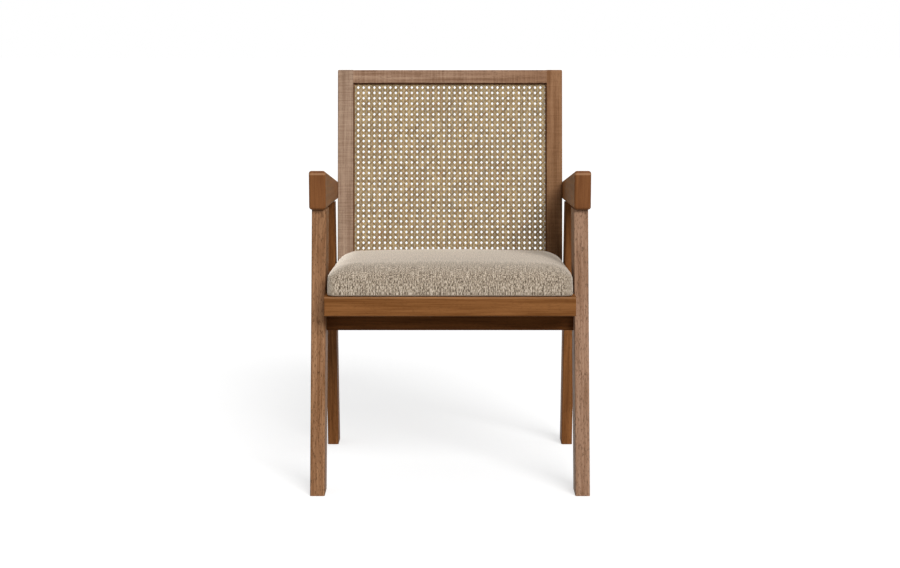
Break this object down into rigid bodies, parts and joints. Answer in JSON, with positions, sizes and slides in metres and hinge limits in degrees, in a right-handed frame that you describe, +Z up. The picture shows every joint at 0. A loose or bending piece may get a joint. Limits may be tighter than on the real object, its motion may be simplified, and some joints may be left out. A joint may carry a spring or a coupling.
{
  "type": "upholstered armchair",
  "caption": "Wooden armchair with leaning plank legs, wedge-shaped arms, a framed cane back that leans back and a padded cloth seat.",
  "frame": {"origin": "on the floor, in the middle of the chair's outer box", "axes": "+X to the right in a front view, +Y to the back, +Z up"},
  "size_m": [0.594, 0.595, 0.871],
  "materials": {
    "frame_wood": "satin brown stain",
    "bead_wood": "satin dark stain",
    "plain_wood": "unfinished",
    "plywood": "unfinished",
    "cane": "natural cane skin",
    "seat_cloth": "heathered weave",
    "foam": "open-cell foam",
    "dust_cloth": "matt black cloth",
    "steel": "zinc plated",
    "brass": "plain"
  },
  "bodies": {
    "root": {"left_front_leg": "frame_wood", "right_front_leg": "frame_wood", "left_rear_leg": "frame_wood", "right_rear_leg": "frame_wood", "left_armrest": "frame_wood", "right_armrest": "frame_wood", "left_back_stile": "frame_wood", "right_back_stile": "frame_wood", "back_top_rail": "frame_wood", "back_bottom_rail": "frame_wood", "cane_panel": "cane", "top_cane_bead": "bead_wood", "bottom_cane_bead": "bead_wood", "left_cane_bead": "bead_wood", "right_cane_bead": "bead_wood", "front_seat_rail": "frame_wood", "rear_seat_rail": "frame_wood", "left_seat_rail": "frame_wood", "right_seat_rail": "frame_wood", "left_front_corner_block": "plain_wood", "right_front_corner_block": "plain_wood", "left_rear_corner_block": "plain_wood", "right_rear_corner_block": "plain_wood", "front_stretcher": "frame_wood", "rear_stretcher": "frame_wood", "seat_board": "plywood", "seat_foam": "foam", "seat_cover": "seat_cloth", "dust_cover": "dust_cloth", "arm_dowels": "plain_wood", "leg_bolts": "steel", "leg_washers": "steel", "leg_inserts": "brass", "seat_screws": "steel", "stretcher_screws": "steel"}
  },
  "joints": []
}
